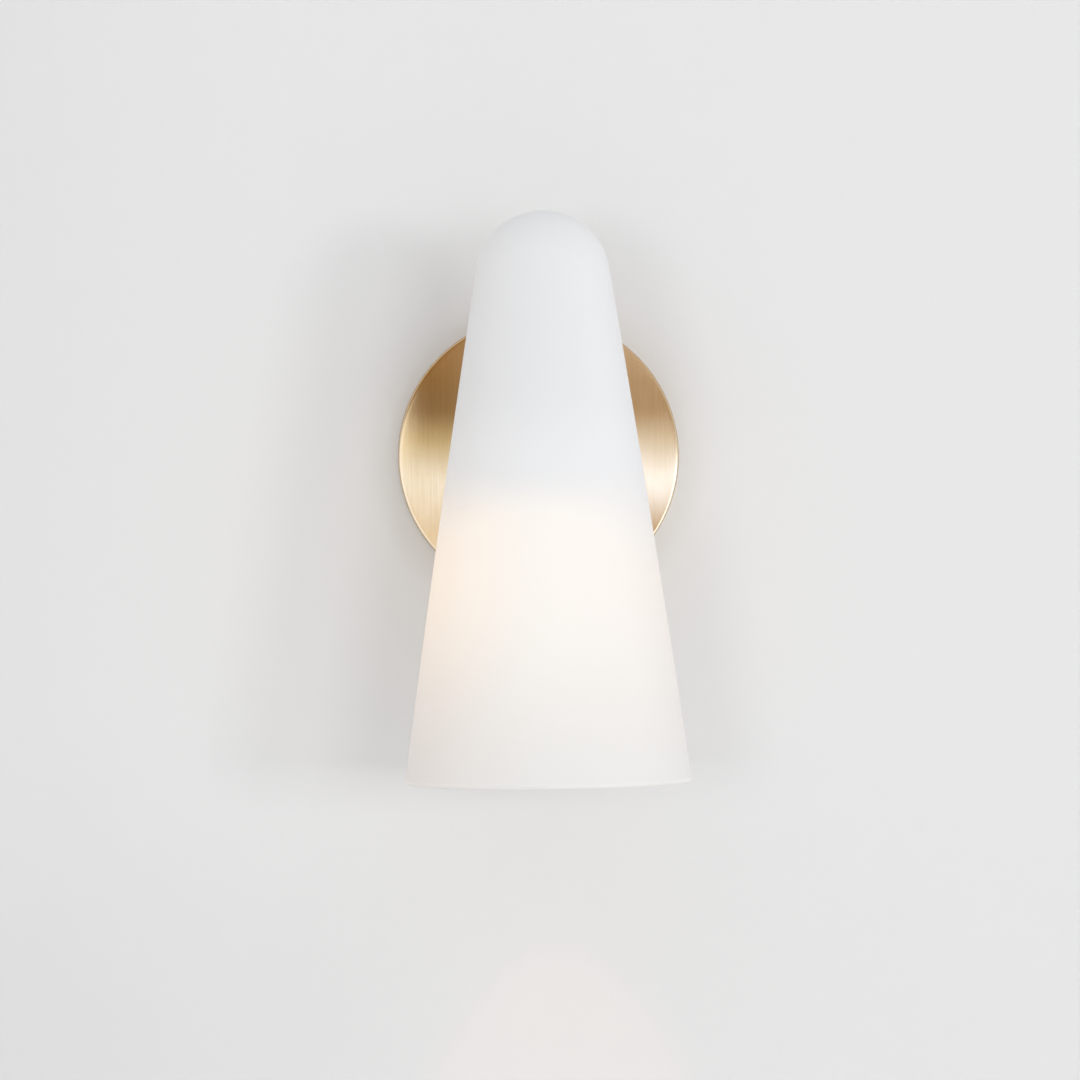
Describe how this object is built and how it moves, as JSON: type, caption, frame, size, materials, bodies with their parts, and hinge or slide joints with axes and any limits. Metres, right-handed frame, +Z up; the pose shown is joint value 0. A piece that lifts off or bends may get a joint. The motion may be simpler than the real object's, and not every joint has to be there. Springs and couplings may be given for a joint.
{
  "type": "wall lamp",
  "caption": "Wall lamp: a tall cone of opal glass, round at the crown and open below, on a short swivelling brass arm in front of a round brushed brass backplate, with a screw-base globe bulb.",
  "frame": {"origin": "centre of the backplate on the wall plane, between the two box screw slots", "axes": "+Z up, +Y into the wall, +X to the right for someone facing the lamp"},
  "size_m": [0.12, 0.1588, 0.2354],
  "materials": {
    "brushed_brass": "satin brass, brushed upright, lacquered",
    "turned_brass": "satin turned brass, lacquered",
    "contact_brass": "plain stamped brass",
    "zinc_steel": "zinc plated",
    "opal_glass": "matte opal, lit from inside",
    "frosted_glass": "frosted",
    "clear_glass": "clear",
    "black_glass": "glossy black",
    "filament": "phosphor coating",
    "bulb_metal": "nickel plated",
    "porcelain": "white glaze",
    "clear_silicone": "milky silicone",
    "white_nylon": "moulded nylon",
    "live_sleeve": "brown insulation",
    "neutral_sleeve": "blue insulation",
    "earth_sleeve": "green and yellow insulation"
  },
  "bodies": {
    "wall_mount": {"wall_bracket": "zinc_steel", "backplate": "brushed_brass", "plate_screws": "turned_brass", "terminal_block": "white_nylon", "terminal_sleeves": "contact_brass", "terminal_screws": "zinc_steel", "block_screws": "zinc_steel", "earth_tag": "contact_brass", "earth_screw": "zinc_steel", "earth_lead": "earth_sleeve", "live_supply_lead": "live_sleeve", "neutral_supply_lead": "neutral_sleeve", "threaded_nipple": "zinc_steel", "lock_washer": "zinc_steel", "nipple_nut": "contact_brass", "swivel_hub": "turned_brass", "stop_screw": "zinc_steel", "friction_washer": "white_nylon"},
    "lamp_head": {"arm": "turned_brass", "outer_gasket": "clear_silicone", "glass_shade": "opal_glass", "inner_gasket": "clear_silicone", "clamp_washer": "zinc_steel", "ring_nut": "turned_brass", "socket_cup": "turned_brass", "lampholder_body": "porcelain", "screw_shell": "contact_brass", "centre_contact": "contact_brass", "shell_contact": "contact_brass", "holder_terminal_screws": "zinc_steel", "holder_fixing_screws": "zinc_steel", "holder_spacers": "contact_brass", "live_arm_lead": "live_sleeve", "neutral_arm_lead": "neutral_sleeve"},
    "bulb_end": {"bulb_tip": "contact_brass"},
    "bulb": {"bulb_insulator": "black_glass", "bulb_cap": "bulb_metal", "bulb_globe": "frosted_glass", "bulb_stem": "clear_glass", "bulb_filaments": "filament", "bulb_supports": "bulb_metal"}
  },
  "joints": [
    {"name": "shade_swivel", "type": "hinge", "parent": "wall_mount", "child": "lamp_head", "pos_m": [0, -0.038, 0], "axis": [0, 1, 0], "range_deg": [-150, 150]},
    {"name": "bulb_travel", "type": "slide", "parent": "lamp_head", "child": "bulb_end", "axis": [0, 0, -1], "range_m": [0, 0.011]},
    {"name": "bulb_turn", "type": "hinge", "parent": "bulb_end", "child": "bulb", "pos_m": [0, -0.1, -0.014], "axis": [0, 0, -1], "range_deg": [0, 1080]}
  ],
  "couplings": [
    {"joint": "bulb_travel", "follows": "bulb_turn", "m_per_rad": 0.00057757}
  ]
}
